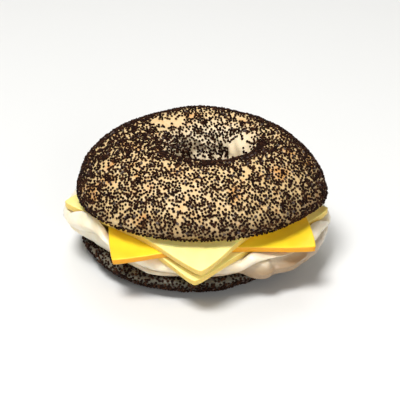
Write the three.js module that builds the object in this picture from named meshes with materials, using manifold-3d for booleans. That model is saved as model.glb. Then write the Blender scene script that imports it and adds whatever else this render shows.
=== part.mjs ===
// A filled poppy seed bagel: two seeded halves round a folded egg and three slices of cheese.
// Millimetres, +Z up, standing on the flat of the bottom half. The front faces -Y.
// The stack is described round the filling's middle, and the finished pieces are then moved so
// that the origin is under the middle of the whole.
// Directions are angles that start at +X and turn towards +Y.
import * as THREE from 'three';
import { mergeVertices } from 'three/addons/utils/BufferGeometryUtils.js';
import Module from 'manifold-3d';

const wasm = await Module();
wasm.setup();

// The place of the stack's middle, measured from the middle of the whole
const stackX = 1.9;
const stackY = 4.6;

// The stack from the base up
const bottomHeight = 11;
const eggThickness = 9.2;
const paleThickness = 2.8;
const yellowThickness = 2.5;
const clearance = 0.35;
const eggUnderside = bottomHeight + clearance;
const restLevel = eggUnderside + eggThickness + clearance;
const cutLevel = restLevel + 2 * paleThickness + yellowThickness + 3 * clearance;

// Uneven shapes: a wave is [waves in a turn, size, phase in radians], and a lobe is
// [direction in degrees, width in degrees, size]. On the two halves, sizes are shares of the
// radius or height.

// The top half, above its cut face
const topX = -0.6;
const topRadius = 54.7;
const topCutRadius = 48;
const topHeight = 25.6;
const topWaist = 4.5;
const topSegments = 48;
const crownRadius = 32;
const shoulderPower = 1.25;
const topOutlineWaves = [[2, 0.006, -0.4], [3, 0.005, 1.1], [5, 0.003, 0.4]];
const topOutlineLobes = [[146, 24, 0.028], [178, 14, -0.016], [25, 21, -0.028], [-9, 16, 0.032]];
const crownWaves = [[3, 0.008, 0.5]];
const crownLobes = [[95, 22, 0.05], [-150, 40, 0.02]];

// At the right the top half's widest level sags by this much
const waistSag = 2.6;
const sagDirection = -9;
const sagWidth = 20;
const sagTop = 18;

// The closed dimple in the top half, and where its middle lies
const dimpleRadius = 14.5;
const dimpleWall = 12;
const dimpleDepth = 18;
const dimpleX = 5;
const dimpleY = 0.5;
const dimplePinch = [[3, 0.10, 0.8], [5, 0.05, 0]];

// The bottom half, with a small hollow underneath
const bottomRadius = 50.5;
const bottomCutRadius = 43;
const bottomBaseRadius = 38;
const bottomWaist = 8.5;
const bottomSidePower = 1.35;
const bottomX = -4;
const bottomY = 2;
const bottomSegments = 44;
const bottomOutlineWaves = [[2, 0.006, 0.9], [3, 0.006, -0.7], [7, 0.004, 0]];
const bottomOutlineLobes = [[-154, 18, -0.03], [-56, 14, -0.03], [-74, 9, 0.02]];
const hollowRadius = 8;
const hollowDepth = 2.5;

// The slices: half their side, how blunt the corners of the upper, yellow and lower one are,
// how much closer the points of their outline lie towards the edge, and the place of their
// middle and their turn in degrees
const paleHalf = 41;
const yellowHalf = 43;
const upperBlunting = 1.2;
const yellowBlunting = 0.5;
const lowerBlunting = 1.4;
const bluntingPower = 12;
const sliceSteps = 12;
const sliceCrowding = 0.8;
const upperPlace = { x: -3.8, y: -5.6, turn: -41.2 };
const yellowPlace = { x: 1.1, y: -4.4, turn: 6.2 };
const lowerPlace = { x: 0.5, y: -6.1, turn: -48.2 };

// How the slices bend over the egg's edge: flat up to the drape radius, then round over the
// bend length, down to an angle in degrees that depends on the direction. The right corners
// curl up a little.
const drapeRadius = 40;
const bendLength = 15;
const frontDroop = 22.5;
const leftDroop = 2;
const rightDroop = 0.6;
const backDroop = 8;
const rightCurl = 2.8;
const curlDirection = -11;
const curlWidth = 16;
const curlStart = 49;
const curlEnd = 60;

// The egg: a folded sheet with a round upper fold, a crease below it and a lower lip. Each
// list goes once round it, in rows of [direction in degrees, size in millimetres].

// How far out the upper fold reaches
const eggOuter = [
  [-180, 61.6], [-174, 61.6], [-168, 61], [-164, 60], [-159, 57.6], [-152, 54.8], [-140, 52.6],
  [-128, 51.5], [-80, 52], [-64, 53.5], [-50, 55.5], [-36, 57], [-12, 58], [4, 57.8],
  [25, 56], [60, 54.8], [100, 54.6], [135, 56.2], [160, 60],
];

// How far out the lower lip reaches
const eggLip = [
  [-180, 61], [-174, 58.8], [-169, 54.6], [-163, 51.4], [-155, 49.6], [-145, 48.8],
  [-130, 48.4], [-116, 50.2], [-100, 48.2], [-74, 47.4], [-69, 48.2], [-64, 52.8],
  [-59, 55.2], [-54, 54.4], [-46, 56.8], [-30, 57.4], [-12, 57.4], [4, 57.2], [25, 54.8],
  [60, 53.2], [100, 53.4], [135, 55], [160, 59],
];

// The height of the crease between them, and how deep it runs in from the fold
const eggCrease = [
  [-180, 18], [-170, 18.6], [-165, 17.4], [-159, 18.2], [-152, 19.8], [-147, 20.2],
  [-140, 18.8], [-128, 14.5],
  [-100, 13.6], [-75, 13.6], [-69, 15.4], [-63, 17.8], [-55, 19.2], [-44, 18.6],
  [-30, 18.8], [-18, 18], [0, 16], [30, 14.2], [70, 13.4], [110, 14.2], [150, 15.5],
];
const eggDepth = [
  [-180, 0.8], [-170, 1.4], [-161, 4.4], [-145, 4.8], [-125, 3.4], [-90, 3.6], [-60, 4],
  [-40, 2.6], [-15, 3.4], [20, 3], [60, 3.8], [110, 2.8], [150, 2.6],
];
const leastLip = 0.4;

// How far the upper fold puffs up beyond the lowest slice, how far it then covers the side of
// the upper slice, and how broadly it rounds over
const eggRise = [
  [-180, 5], [-150, 5], [-142, 2.2], [-134, 0.5], [-126, 0], [-71, 0], [-66, 2.7],
  [-58, 1.6], [-44, 0.6], [-34, 1.9], [-25, 3.1], [-17, 2.9], [-13, 0.8], [-11, 0], [-5, 0],
  [30, 0], [110, 0], [135, 1], [160, 3.6],
];
const eggCover = [
  [-180, 0], [-170, 0], [-167, 0], [-163, 2.4], [-159, 4], [-152, 3.6], [-146, 1.6], [-141, 0],
  [-138, 0], [-60, 0], [60, 0], [150, 0],
];
const eggRounding = [
  [-180, 2.6], [-173, 1.8], [-167, 1.3], [-160, 2.2], [-152, 2.6], [-140, 3], [-80, 3],
  [-69, 2.2], [-60, 3], [-40, 3.6], [-29, 4.8], [-22, 4.6], [-17, 2.6], [-13, 1.2],
  [-8, 1.8], [10, 3], [120, 3.4],
];
const riseGap = 0.45;
const leastRun = 0.8;
const leastCoverRun = 0.35;
const lipRounding = 3;

// How far its underside sags beyond the bottom half
const eggSag = [
  [-180, -2.4], [-168, -1], [-158, 0], [-120, 0.4], [-90, 1.4], [-60, 1.5], [-42, 0.8],
  [-28, 0.2], [-10, -1], [5, -1.6], [40, 0], [100, 1.2], [150, -0.5],
];
const sagStart = bottomRadius - 4;
const sagEnd = bottomRadius + 5;

// Small waves on the fold and the lip: [waves in a turn, size, phase in radians]
const eggOuterWaves = [[11, 0.2, 1], [17, 0.15, 2]];
const eggLipWaves = [[13, 0.2, 0]];

// Bulges on its outer face, pushed away from a ring inside it: direction in degrees, height,
// breadth, tallness and size in millimetres
const eggBulges = [
  [-65.6, 20.8, 3.4, 2.4, 1.2],
  [-60.5, 17.2, 3.2, 2.2, 1.0],
  [-155, 23, 5, 2.5, 0.7],
  [-47, 17.6, 6, 1.8, -1.4],
  [172, 19, 8, 3, 0.7],
  [70, 18, 9, 2.5, 1.0],
  [118, 13, 7, 2.5, 0.9],
];
const eggCoreRadius = 47;
const eggCoreHeight = 15;
const eggFaceRadius = 54;
const eggSegments = 72;
const eggFaceSteps = 12;
const eggEdgePart = 0.8;

// The seeds, and how much of their height is sunk into the crust
const seedLength = 1.45;
const seedWidth = 1.15;
const seedHeight = 0.95;
const seedSunk = 0.4;
const topSeeds = 180;
const bottomSeeds = 50;
const seedDraws = 12;

const degrees = Math.PI / 180;
const quarterTurn = Math.PI / 2;

function seededDraw(seed) {
  let state = seed;
  return () => {
    state = (state + 0x6d2b79f5) | 0;
    let mixed = Math.imul(state ^ (state >>> 15), 1 | state);
    mixed = (mixed + Math.imul(mixed ^ (mixed >>> 7), 61 | mixed)) ^ mixed;
    return ((mixed ^ (mixed >>> 14)) >>> 0) / 2 ** 32;
  };
}

function smoothStep(from, to, value) {
  const part = Math.min(Math.max((value - from) / (to - from), 0), 1);
  return part * part * (3 - 2 * part);
}

// A bump of height 1 round a direction in degrees, fading over a width in degrees
function lobe(angle, middle, width) {
  const away = angle - middle * degrees;
  const nearest = Math.atan2(Math.sin(away), Math.cos(away));
  return Math.exp(-((nearest / (width * degrees)) ** 2));
}

function uneven(angle, waves, lobes = []) {
  let sum = 0;
  for (const [count, size, phase] of waves) {
    sum += size * Math.cos(count * angle + phase);
  }
  for (const [middle, width, size] of lobes) {
    sum += size * lobe(angle, middle, width);
  }
  return sum;
}

// A value that runs smoothly through rows of [direction in degrees, value]
function around(angle, rows) {
  const count = rows.length;
  const first = rows[0][0];
  const ahead = angle / degrees - first;
  const direction = first + ahead - 360 * Math.floor(ahead / 360);
  const start = rows.findLastIndex(([way]) => way <= direction);
  const end = start + 1 < count ? rows[start + 1][0] : first + 360;
  const part = (direction - rows[start][0]) / (end - rows[start][0]);
  const [a, b, c, d] = [-1, 0, 1, 2].map((step) => rows[(start + step + count) % count][1]);
  const bend = 2 * a - 5 * b + 4 * c - d + part * (3 * (b - c) + d - a);
  return b + 0.5 * part * (c - a + part * bend);
}

// A quarter turn in steps, passed to a function that gives a point of the profile
function quarter(steps, point) {
  return Array.from({ length: steps }, (_, i) => point((i / steps) * quarterTurn));
}

function quarterBack(steps, point) {
  return quarter(steps, (turn) => point(quarterTurn - turn));
}

// A closed body with shared corners and no empty triangles
function closedBody(geometry) {
  geometry.deleteAttribute('normal');
  geometry.deleteAttribute('uv');
  const merged = mergeVertices(geometry, 1e-4);
  const corners = merged.index.array;
  const kept = [];
  for (let i = 0; i < corners.length; i += 3) {
    const [a, b, c] = corners.slice(i, i + 3);
    if (a !== b && b !== c && c !== a) {
      kept.push(a, b, c);
    }
  }
  merged.setIndex(kept);
  return merged;
}

function toManifold(geometry) {
  return new wasm.Manifold(new wasm.Mesh({
    numProp: 3,
    vertProperties: new Float32Array(geometry.attributes.position.array),
    triVerts: new Uint32Array(geometry.index.array),
  }));
}

function toGeometry(manifold) {
  const mesh = manifold.getMesh();
  const geometry = new THREE.BufferGeometry();
  const corners = new Float32Array(mesh.vertProperties);
  geometry.setAttribute('position', new THREE.BufferAttribute(corners, 3));
  geometry.setIndex(new THREE.BufferAttribute(new Uint32Array(mesh.triVerts), 1));
  return geometry;
}

// Moves every corner of a geometry by a function of its place
function reshape(geometry, move) {
  const place = geometry.attributes.position;
  for (let i = 0; i < place.count; i += 1) {
    place.setXYZ(i, ...move(place.getX(i), place.getY(i), place.getZ(i)));
  }
  return geometry;
}

// A body of revolution about the upright axis. Its profile of radius and height runs from the
// axis below, round the outside, to the axis above.
function turned(profile, segments) {
  const points = profile.map(([radius, height]) => new THREE.Vector2(radius, height));
  const lathe = new THREE.LatheGeometry(points, segments);
  lathe.rotateX(quarterTurn);
  return closedBody(lathe);
}

function topProfile() {
  const tuck = quarterBack(3, (turn) => [
    topRadius - (topRadius - topCutRadius) * (1 - Math.cos(turn)),
    topWaist * (1 - Math.sin(turn)),
  ]);
  const shoulder = quarterBack(8, (turn) => [
    crownRadius + (topRadius - crownRadius) * Math.sin(turn) ** shoulderPower,
    topWaist + (topHeight - topWaist) * Math.cos(turn) ** shoulderPower,
  ]);
  const wall = quarter(5, (turn) => [
    crownRadius - (crownRadius - dimpleRadius) * Math.sin(turn),
    topHeight - dimpleWall * (1 - Math.cos(turn)),
  ]);
  const floor = quarter(4, (turn) => [
    dimpleRadius * Math.cos(turn),
    topHeight - dimpleWall - (dimpleDepth - dimpleWall) * Math.sin(turn),
  ]);
  return [[0, 0], ...tuck, ...shoulder, ...wall, ...floor, [0, topHeight - dimpleDepth]];
}

// The outline and the crown are uneven, and the dimple is pinched and lies off the middle
function topShape(x, y, z) {
  const angle = Math.atan2(y, x);
  const radius = Math.hypot(x, y);
  const outward = smoothStep(dimpleRadius, topRadius, radius);
  const inward = 1 - smoothStep(dimpleRadius, crownRadius, radius);
  const outline = uneven(angle, topOutlineWaves, topOutlineLobes);
  const scale = 1 + outline * outward + uneven(angle, dimplePinch) * inward;
  const crown = uneven(angle, crownWaves, crownLobes) * smoothStep(topWaist, topHeight, z);
  const atWaist = smoothStep(0, topWaist, z) * (1 - smoothStep(topWaist, sagTop, z));
  return [
    x * scale + dimpleX * (1 - outward) + topX,
    y * scale + dimpleY * (1 - outward),
    z * (1 + crown) - waistSag * lobe(angle, sagDirection, sagWidth) * atWaist * outward,
  ];
}

function topHalf() {
  const core = reshape(turned(topProfile(), topSegments), topShape);
  const onCrust = (middle) => middle.z > topWaist / 2;
  return withSeeds(core, topSeeds, 11, onCrust).translate(0, 0, cutLevel);
}

function bottomProfile() {
  const hollow = quarterBack(3, (turn) => [
    hollowRadius * Math.cos(turn),
    hollowDepth * Math.sin(turn),
  ]);
  const side = quarter(6, (turn) => [
    bottomBaseRadius + (bottomRadius - bottomBaseRadius) * Math.sin(turn) ** bottomSidePower,
    bottomWaist * (1 - Math.cos(turn) ** bottomSidePower),
  ]);
  const shoulder = quarter(4, (turn) => [
    bottomCutRadius + (bottomRadius - bottomCutRadius) * Math.cos(turn),
    bottomWaist + (bottomHeight - bottomWaist) * Math.sin(turn),
  ]);
  return [...hollow, [hollowRadius, 0], ...side, ...shoulder,
    [bottomCutRadius, bottomHeight], [0, bottomHeight]];
}

function bottomShape(x, y, z) {
  const outward = smoothStep(hollowRadius, bottomRadius, Math.hypot(x, y));
  const outline = uneven(Math.atan2(y, x), bottomOutlineWaves, bottomOutlineLobes);
  const scale = 1 + outline * outward;
  return [x * scale + bottomX, y * scale + bottomY, z];
}

function bottomHalf() {
  const core = reshape(turned(bottomProfile(), bottomSegments), bottomShape);
  const onCrust = (middle, normal) => middle.z > 1.2 && normal.z < 0.9
    && Math.hypot(middle.x - bottomX, middle.y - bottomY) > bottomBaseRadius;
  return withSeeds(core, bottomSeeds, 23, onCrust);
}

// A flat place on the filling, bent down over the egg's edge, at a height above the egg. The
// slices also curl up at the right.
function drape(x, y, lift, rise = 0) {
  const flatRadius = Math.hypot(x, y);
  const angle = Math.atan2(y, x);
  const towards = (amount) => Math.max(amount, 0) ** 2;
  const droop = degrees * (
    frontDroop * towards(-Math.sin(angle)) + backDroop * towards(Math.sin(angle))
    + leftDroop * towards(-Math.cos(angle)) + rightDroop * towards(Math.cos(angle)));
  const beyond = Math.max(flatRadius - drapeRadius, 0);
  const bend = Math.min(beyond, bendLength);
  const straight = beyond - bend;
  const bendRadius = bendLength / droop;
  const slope = bend / bendRadius;
  const radius = Math.min(flatRadius, drapeRadius) + bendRadius * Math.sin(slope)
    + straight * Math.cos(slope) + lift * Math.sin(slope);
  const drop = bendRadius * (1 - Math.cos(slope)) + straight * Math.sin(slope);
  const curl = rise * lobe(angle, curlDirection, curlWidth)
    * smoothStep(curlStart, curlEnd, flatRadius);
  return [
    radius * Math.cos(angle),
    radius * Math.sin(angle),
    restLevel - drop + curl + lift * Math.cos(slope),
  ];
}

// A square slice with blunt corners, whose lower face lies at a height above the egg
function slice(half, blunt, thickness, place, lift) {
  const sheet = closedBody(new THREE.BoxGeometry(2, 2, thickness, sliceSteps, sliceSteps, 1));
  const cosine = Math.cos(place.turn * degrees);
  const sine = Math.sin(place.turn * degrees);
  return reshape(sheet, (x, y, z) => {
    const blunting = blunt * Math.abs(x * y) ** bluntingPower;
    const spread = (part) => Math.sign(part) * (half * Math.abs(part) ** sliceCrowding - blunting);
    const along = spread(x);
    const across = spread(y);
    return drape(
      place.x + along * cosine - across * sine,
      place.y + along * sine + across * cosine,
      lift + z + thickness / 2,
      rightCurl,
    );
  });
}

// How far out a square slice reaches in a direction
function sliceEdge(angle, place, half) {
  const reaches = [place.turn, place.turn + 90].map((turn) => {
    const ahead = Math.cos(angle - turn * degrees) + 1e-9;
    const offset = place.x * Math.cos(turn * degrees) + place.y * Math.sin(turn * degrees);
    return (half * Math.sign(ahead) + offset) / ahead;
  });
  return Math.min(...reaches);
}

// What the egg's cross-section is in a direction, with the places where it starts to rise
// beyond the lowest slice and the upper slice, and where the upper fold starts to round over
function eggSection(angle) {
  const outer = around(angle, eggOuter) + uneven(angle, eggOuterWaves);
  const lip = around(angle, eggLip) + uneven(angle, eggLipWaves);
  const inner = Math.min(outer - around(angle, eggDepth), lip - leastLip);
  const foldStart = outer - around(angle, eggRounding);
  const beyondLower = sliceEdge(angle, lowerPlace, paleHalf) + riseGap;
  const beyondUpper = sliceEdge(angle, upperPlace, paleHalf) + riseGap;
  const riseStart = Math.min(beyondLower, foldStart - leastRun);
  const middle = (riseStart + foldStart) / 2;
  const coverStart = Math.min(Math.max(beyondUpper, middle), foldStart - leastCoverRun);
  const crease = around(angle, eggCrease);
  return { outer, crease, lip, inner, foldStart, coverStart, riseStart };
}

// The underside lies on the bottom half and sags where it overhangs
function eggUnder(angle, radius) {
  const x = radius * Math.cos(angle) - bottomX;
  const y = radius * Math.sin(angle) - bottomY;
  return eggUnderside - around(angle, eggSag) * smoothStep(sagStart, sagEnd, Math.hypot(x, y));
}

// The top lies under the slices and rises beyond them. Gives a radius and a height.
function eggTop(angle, flat, { foldStart, coverStart, riseStart }) {
  const [x, y, z] = drape(flat * Math.cos(angle), flat * Math.sin(angle), -clearance);
  const rise = around(angle, eggRise) * smoothStep(riseStart, foldStart, flat);
  const cover = around(angle, eggCover) * smoothStep(coverStart, foldStart, flat);
  return [Math.hypot(x, y), z + rise + cover];
}

// The outer face by direction and share of the way down: round the upper fold, in to the
// crease, out over the lip and under it. Gives a radius and a height.
function eggFace(angle, share) {
  const section = eggSection(angle);
  const { outer, crease, inner, lip, foldStart } = section;
  const stage = Math.min(Math.floor(share * 4), 3);
  const turn = (share * 4 - stage) * quarterTurn;
  const [foldRadius, foldTop] = eggTop(angle, outer, section);
  const foldMiddle = (foldTop + crease) / 2;
  const under = eggUnder(angle, lip - lipRounding);
  const lipMiddle = (crease + under) / 2;
  if (stage === 0) {
    const flat = outer - (outer - foldStart) * (1 - Math.sin(turn));
    const [radius, height] = eggTop(angle, flat, section);
    return [radius, height - (foldTop - foldMiddle) * (1 - Math.cos(turn))];
  }
  if (stage === 1) {
    return [
      foldRadius - (foldRadius - inner) * (1 - Math.cos(turn)),
      foldMiddle - (foldMiddle - crease) * Math.sin(turn),
    ];
  }
  if (stage === 2) {
    return [
      lip - (lip - inner) * (1 - Math.sin(turn)),
      lipMiddle + (crease - lipMiddle) * Math.cos(turn),
    ];
  }
  return [
    lip - lipRounding * (1 - Math.cos(turn)),
    lipMiddle - (lipMiddle - under) * Math.sin(turn),
  ];
}

// Pushes a place on the outer face away from the ring inside the egg
function eggBulge(angle, radius, height) {
  let size = 0;
  for (const [middle, level, breadth, tall, most] of eggBulges) {
    const away = angle - middle * degrees;
    const along = Math.atan2(Math.sin(away), Math.cos(away)) * eggFaceRadius;
    size += most * Math.exp(-((along / breadth) ** 2) - ((height - level) / tall) ** 2);
  }
  const out = Math.max(radius - eggCoreRadius, 0);
  const up = height - eggCoreHeight;
  const push = size * smoothStep(2, 5, out) / Math.max(Math.hypot(out, up), 1);
  return [radius + out * push, height + up * push];
}

// Made from a drum of radius and height 1: its wall becomes the outer face, and its ends the
// top and the underside
function egg() {
  const wall = Array.from({ length: eggFaceSteps + 1 }, (_, i) => [1, i / eggFaceSteps]);
  const under = [[0, 0], [0.6, 0], [0.84, 0], [0.93, 0]];
  const over = [[0.9, 1], [eggEdgePart, 1], [0.65, 1], [0.4, 1], [0, 1]];
  const drum = turned([...under, ...wall, ...over], eggSegments);
  return reshape(drum, (x, y, z) => {
    const angle = Math.atan2(y, x);
    const part = Math.hypot(x, y);
    const section = eggSection(angle);
    const { lip, coverStart, riseStart } = section;
    let place;
    if (part > 0.99) {
      place = eggBulge(angle, ...eggFace(angle, 1 - z));
    } else if (z > 0.5) {
      const flat = part > 0.85 ? coverStart : riseStart * (part / eggEdgePart);
      place = eggTop(angle, flat, section);
    } else {
      place = [part * (lip - lipRounding), eggUnder(angle, part * (lip - lipRounding))];
    }
    const [radius, height] = place;
    return [radius * Math.cos(angle), radius * Math.sin(angle), height];
  });
}

// The faces of a body where seeds lie, with the area up to and including each
function seedFaces(core, wanted) {
  const { index, attributes: { position } } = core;
  const faces = [];
  let area = 0;
  for (let i = 0; i < index.count; i += 3) {
    const corners = [index.getX(i), index.getX(i + 1), index.getX(i + 2)];
    const triangle = new THREE.Triangle();
    triangle.setFromAttributeAndIndices(position, ...corners);
    const middle = triangle.getMidpoint(new THREE.Vector3());
    const normal = triangle.getNormal(new THREE.Vector3());
    if (wanted(middle, normal)) {
      area += triangle.getArea();
      faces.push({ triangle, normal, reach: area });
    }
  }
  return faces;
}

// Each spot is the farthest from the others of a few draws, so the seeds lie evenly
function seedSpots(faces, count, draw) {
  const area = faces.at(-1).reach;
  const drawSpot = () => {
    const reach = draw() * area;
    const { triangle: { a, b, c }, normal } = faces.find((face) => face.reach >= reach);
    const [u, v] = [draw(), draw()];
    const folded = u + v > 1 ? [1 - u, 1 - v] : [u, v];
    const place = a.clone().multiplyScalar(1 - folded[0] - folded[1])
      .addScaledVector(b, folded[0]).addScaledVector(c, folded[1]);
    return { place, normal };
  };
  const spots = [drawSpot()];
  while (spots.length < count) {
    const draws = Array.from({ length: seedDraws }, drawSpot);
    const room = draws.map(({ place }) => (
      Math.min(...spots.map((spot) => spot.place.distanceTo(place)))));
    spots.push(draws[room.indexOf(Math.max(...room))]);
  }
  return spots;
}

// Each seed is a little pointed drum of five sides, sunk into the crust and fused to it
function withSeeds(core, count, seed, wanted) {
  const draw = seededDraw(seed);
  const up = new THREE.Vector3(0, 0, 1);
  let body = toManifold(core);
  for (const { place, normal } of seedSpots(seedFaces(core, wanted), count, draw)) {
    const grain = new THREE.SphereGeometry(0.5, 5, 2);
    grain.rotateX(quarterTurn);
    grain.scale(seedLength, seedWidth, seedHeight);
    grain.rotateZ(draw() * Math.PI);
    grain.applyQuaternion(new THREE.Quaternion().setFromUnitVectors(up, normal));
    grain.translate(...place.addScaledVector(normal, seedHeight * (0.5 - seedSunk)));
    body = body.add(toManifold(closedBody(grain)));
  }
  return toGeometry(body);
}

const yellowLift = paleThickness + clearance;
const upperLift = yellowLift + yellowThickness + clearance;

// Each piece with its colour and roughness
const upperSlice = slice(paleHalf, upperBlunting, paleThickness, upperPlace, upperLift);
const yellowSlice = slice(yellowHalf, yellowBlunting, yellowThickness, yellowPlace, yellowLift);
const lowerSlice = slice(paleHalf, lowerBlunting, paleThickness, lowerPlace, 0);
const pieces = {
  bagel_top: [topHalf(), 0x8a7049, 0.7],
  cheese_pale_upper: [upperSlice, 0xfdf5a4, 0.45],
  cheese_yellow: [yellowSlice, 0xfce041, 0.45],
  cheese_pale_lower: [lowerSlice, 0xf7eba5, 0.45],
  egg: [egg(), 0xf8f0de, 0.4],
  bagel_bottom: [bottomHalf(), 0x332e21, 0.75],
};

const group = new THREE.Group();
for (const [name, [geometry, color, roughness]] of Object.entries(pieces)) {
  const material = new THREE.MeshStandardMaterial({ color, roughness, metalness: 0 });
  const mesh = new THREE.Mesh(geometry, material);
  mesh.name = name;
  mesh.position.set(stackX, stackY, 0);
  group.add(mesh);
}

export default group;
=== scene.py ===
# %% [markdown]
# A filled poppy seed bagel: two seeded halves round folded egg and three slices of cheese.
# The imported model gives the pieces' sizes and places. This scene rebuilds each visible surface
# finely in the same place, scatters thousands of seeds over the crust and gives every piece
# its finish. Shapes are worked out in millimetres and turned into metres as meshes are made.

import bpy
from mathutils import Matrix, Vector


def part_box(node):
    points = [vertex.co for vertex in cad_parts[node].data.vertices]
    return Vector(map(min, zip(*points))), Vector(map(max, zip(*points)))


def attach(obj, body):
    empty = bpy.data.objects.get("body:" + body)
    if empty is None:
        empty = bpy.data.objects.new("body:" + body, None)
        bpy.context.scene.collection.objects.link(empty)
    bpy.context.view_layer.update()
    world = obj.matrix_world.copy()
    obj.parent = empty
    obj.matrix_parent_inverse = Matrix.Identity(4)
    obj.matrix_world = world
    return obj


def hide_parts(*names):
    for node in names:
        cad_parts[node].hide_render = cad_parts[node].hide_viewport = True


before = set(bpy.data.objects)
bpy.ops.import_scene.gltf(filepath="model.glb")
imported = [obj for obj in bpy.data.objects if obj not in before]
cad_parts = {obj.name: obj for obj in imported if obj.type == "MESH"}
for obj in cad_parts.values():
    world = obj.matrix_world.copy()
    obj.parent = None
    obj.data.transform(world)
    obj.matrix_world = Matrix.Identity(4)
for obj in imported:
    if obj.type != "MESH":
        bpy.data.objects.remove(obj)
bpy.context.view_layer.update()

import math

import bpy
import numpy as np
from mathutils import Vector, noise

MM = 0.001

# %% [markdown]
# The camera looks down at the bagel by 25 degrees from 600 mm away, straight at its front. A
# long lens keeps the perspective gentle. A small shift of the frame puts the bagel where the
# photograph has it, without turning the camera.

# %% Camera
stack_x = 1.9
stack_y = 4.6
bottom_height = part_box("bagel_bottom")[1].z / MM
cut_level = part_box("bagel_top")[0].z / MM

elevation = math.radians(25)
distance = 600
pixels_per_mm = 2.223
picture_size = 400
shift_across, shift_up = -1, -9.5
sensor_width = 36
aim = Vector((stack_x, stack_y, 30))

lens = bpy.data.cameras.new("camera")
lens.sensor_width = sensor_width
lens.lens = sensor_width * pixels_per_mm * distance / picture_size
lens.shift_x = shift_across / picture_size
lens.shift_y = shift_up / picture_size
lens.clip_start = 0.01
camera = bpy.data.objects.new("camera", lens)
towards_camera = Vector((0, -math.cos(elevation), math.sin(elevation)))
camera.location = (aim + towards_camera * distance) * MM
camera.rotation_euler = (math.pi / 2 - elevation, 0, 0)
scene = bpy.context.scene
scene.collection.objects.link(camera)
scene.camera = camera
print("lens in mm:", round(lens.lens, 2))

# %% [markdown]
# Food looks fresh in broad, soft light. The main lamp hangs high at the front left, so the
# underside falls into shade, as in the photograph. A weak one low at the front right reaches
# the slices under the rim, and one behind lights the back of the crown. The pale surroundings
# fill the shadows, and a plain floor returns some light from below.

# %% Light and floor
def lamp(name, place, size, power):
    light = bpy.data.lights.new(name, "AREA")
    light.size = size
    light.energy = power
    holder = bpy.data.objects.new(name, light)
    holder.location = place
    holder.rotation_euler = (aim * MM - holder.location).to_track_quat("-Z", "Y").to_euler()
    scene.collection.objects.link(holder)


lamp("key_lamp", Vector((-0.34, -0.60, 1.42)), 0.5, 24)
lamp("front_lamp", Vector((0.40, -1.15, 0.50)), 0.5, 5)
lamp("back_lamp", Vector((0.05, 0.75, 1.20)), 0.7, 5)

surroundings = bpy.data.worlds.new("surroundings")
surroundings.use_nodes = True
background = surroundings.node_tree.nodes["Background"]
background.inputs["Color"].default_value = (1.0, 0.985, 0.96, 1)
background.inputs["Strength"].default_value = 0.24
scene.world = surroundings
scene.view_settings.view_transform = "Standard"

floor_half = 3.0
floor_mesh = bpy.data.meshes.new("floor")
floor_corners = [(-floor_half, -floor_half, 0), (floor_half, -floor_half, 0),
                 (floor_half, floor_half, 0), (-floor_half, floor_half, 0)]
floor_mesh.from_pydata(floor_corners, [], [(0, 1, 2, 3)])
floor = bpy.data.objects.new("floor", floor_mesh)
scene.collection.objects.link(floor)

# %% [markdown]
# Real food is uneven in a soft way, so its shapes are simple curves bent by a few waves and
# lobes round the upright axis. A wave is (waves in a turn, size, phase in radians) and a lobe
# is (direction in degrees, width in degrees, size). Cloud noise adds lumps of a chosen size.

# %% Helpers for uneven shapes
def smooth_step(start, stop, value):
    part = np.clip((value - start) / (stop - start), 0, 1)
    return part * part * (3 - 2 * part)


def turn_from(angle, middle):
    """The shortest turn to an angle in radians from a direction in degrees."""
    away = angle - math.radians(middle)
    return np.arctan2(np.sin(away), np.cos(away))


def lobe(angle, middle, width):
    return np.exp(-((turn_from(angle, middle) / math.radians(width)) ** 2))


def uneven(angle, waves, lobes=()):
    total = np.zeros_like(angle)
    for count, size, phase in waves:
        total = total + size * np.cos(count * angle + phase)
    for middle, width, size in lobes:
        total = total + size * lobe(angle, middle, width)
    return total


def clouds(places, lump, layers=2, shift=0.0):
    """Smooth noise, about -1 to 1, with lumps of a size in millimetres."""
    offset = Vector((shift, -2 * shift, 3 * shift))
    return np.array([noise.fractal(Vector(place) / lump + offset, 1.0, 2.0, layers)
                     for place in places])


# %% [markdown]
# Every body here can start as a drum: rings about an upright axis, closed by a point at each
# end. One helper makes the rings from a profile, and each piece then moves the corners to its
# own shape. A second helper pushes the corners along their normals, for lumps and pores.

# %% Helpers for meshes
def quarter(steps, backwards=False):
    """The angles of a quarter turn in equal steps, without the last one."""
    turns = np.arange(steps) / steps * math.pi / 2
    return math.pi / 2 - turns if backwards else turns


def stretch(start, stop, steps):
    """Points from start to stop, without the last one."""
    return np.linspace(start, stop, steps, endpoint=False)


def turned(profile, segments):
    """Corners and faces of a drum with a profile of (radius, height) from below to above."""
    rings = profile[1:-1]
    angles = np.arange(segments) / segments * 2 * math.pi
    corners = np.stack([np.outer(rings[:, 0], np.cos(angles)),
                        np.outer(rings[:, 0], np.sin(angles)),
                        np.repeat(rings[:, 1:], segments, axis=1)], axis=-1).reshape(-1, 3)
    ends = np.array([[0, 0, profile[0, 1]], [0, 0, profile[-1, 1]]])
    here = np.arange(segments)
    after = (here + 1) % segments
    faces = []
    for ring in range(len(rings) - 1):
        low, high = ring * segments, (ring + 1) * segments
        faces += np.stack([low + here, low + after, high + after, high + here], 1).tolist()
    below, above, last = len(corners), len(corners) + 1, (len(rings) - 1) * segments
    faces += [(below, b, a) for a, b in zip(here.tolist(), after.tolist())]
    faces += [(above, last + a, last + b) for a, b in zip(here.tolist(), after.tolist())]
    return np.vstack([corners, ends]), faces


def make_piece(name, corners, faces, node):
    """A smooth mesh from corners in millimetres, riding on the bagel in place of a node."""
    mesh = bpy.data.meshes.new(name)
    mesh.from_pydata((corners * MM).tolist(), [], faces)
    mesh.shade_smooth()
    piece = bpy.data.objects.new(name, mesh)
    scene.collection.objects.link(piece)
    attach(piece, "root")
    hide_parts(node)
    print(name, "has", len(mesh.polygons), "faces")
    return piece


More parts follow.
